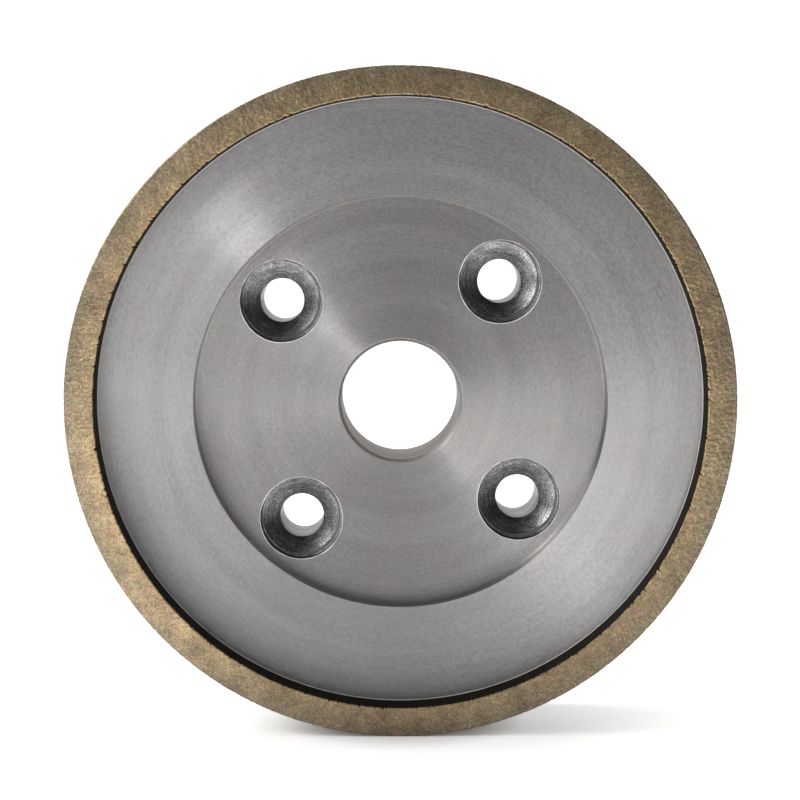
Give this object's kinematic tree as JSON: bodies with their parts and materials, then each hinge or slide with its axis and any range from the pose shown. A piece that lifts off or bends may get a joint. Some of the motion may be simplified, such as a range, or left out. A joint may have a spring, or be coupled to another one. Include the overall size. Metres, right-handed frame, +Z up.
{
  "type": "diamond grinding wheel",
  "caption": "Face grinding wheel: a sintered diamond rim brazed to a turned steel core with a bore, a recess and countersunk screw holes.",
  "frame": {"origin": "the wheel's centre: on its axis, halfway between the grinding face and the back face", "axes": "+Y along the axis from the grinding face towards the back face, +Z up when the wheel stands on its rim, +X to the right seen from the grinding face"},
  "size_m": [0.15, 0.034, 0.15],
  "materials": {
    "core_steel": "turned, fine circular marks",
    "diamond_bronze": "ground sintered bronze with grit",
    "plain_bronze": "sintered bronze",
    "braze_alloy": "satin silver braze"
  },
  "bodies": {
    "root": {"steel_core": "core_steel", "diamond_rim": "diamond_bronze", "rim_backing": "plain_bronze", "braze_seam": "braze_alloy"}
  },
  "joints": []
}
